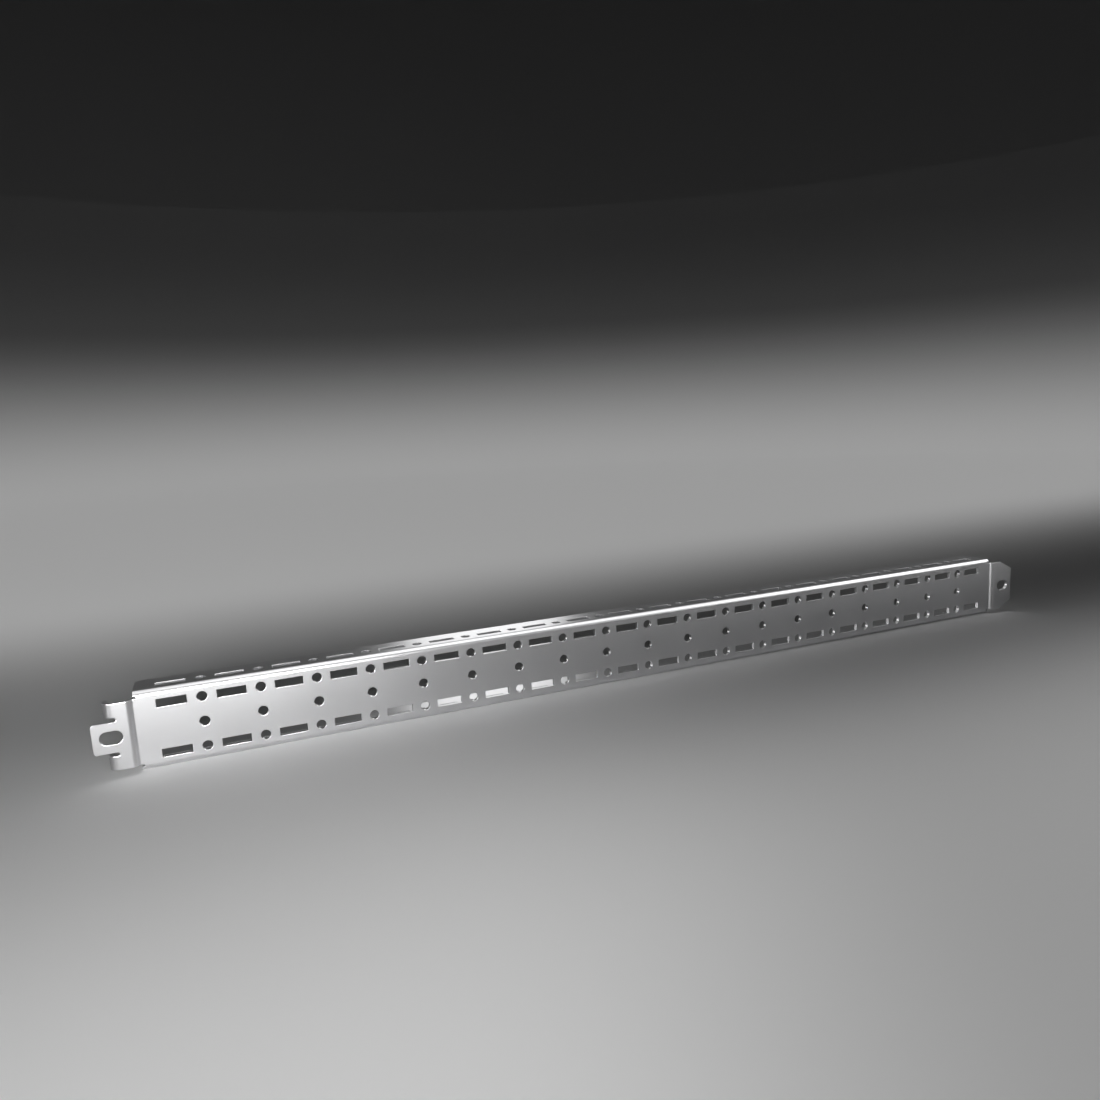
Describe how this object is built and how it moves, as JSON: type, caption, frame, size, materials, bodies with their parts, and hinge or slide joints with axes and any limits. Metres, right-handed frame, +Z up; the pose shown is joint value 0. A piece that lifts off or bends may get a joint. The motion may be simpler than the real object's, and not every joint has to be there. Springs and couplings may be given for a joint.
{
  "type": "rack mounting rail",
  "caption": "Straight folded channel rail with rows of punched slots and round holes, a hook tab on one end and a screw tab on the other, for hanging equipment in a rack frame.",
  "frame": {"origin": "centre of the bounding box's underside, on the surface the lower flange stands on", "axes": "+X along the rail towards the screw tab, -Y the way the punched web faces, +Z up"},
  "size_m": [0.54, 0.02, 0.036],
  "materials": {
    "zinc_plated_steel": "smooth bright zinc plating, softly mirror-like"
  },
  "bodies": {
    "root": {"mounting_rail": "zinc_plated_steel"}
  },
  "joints": []
}
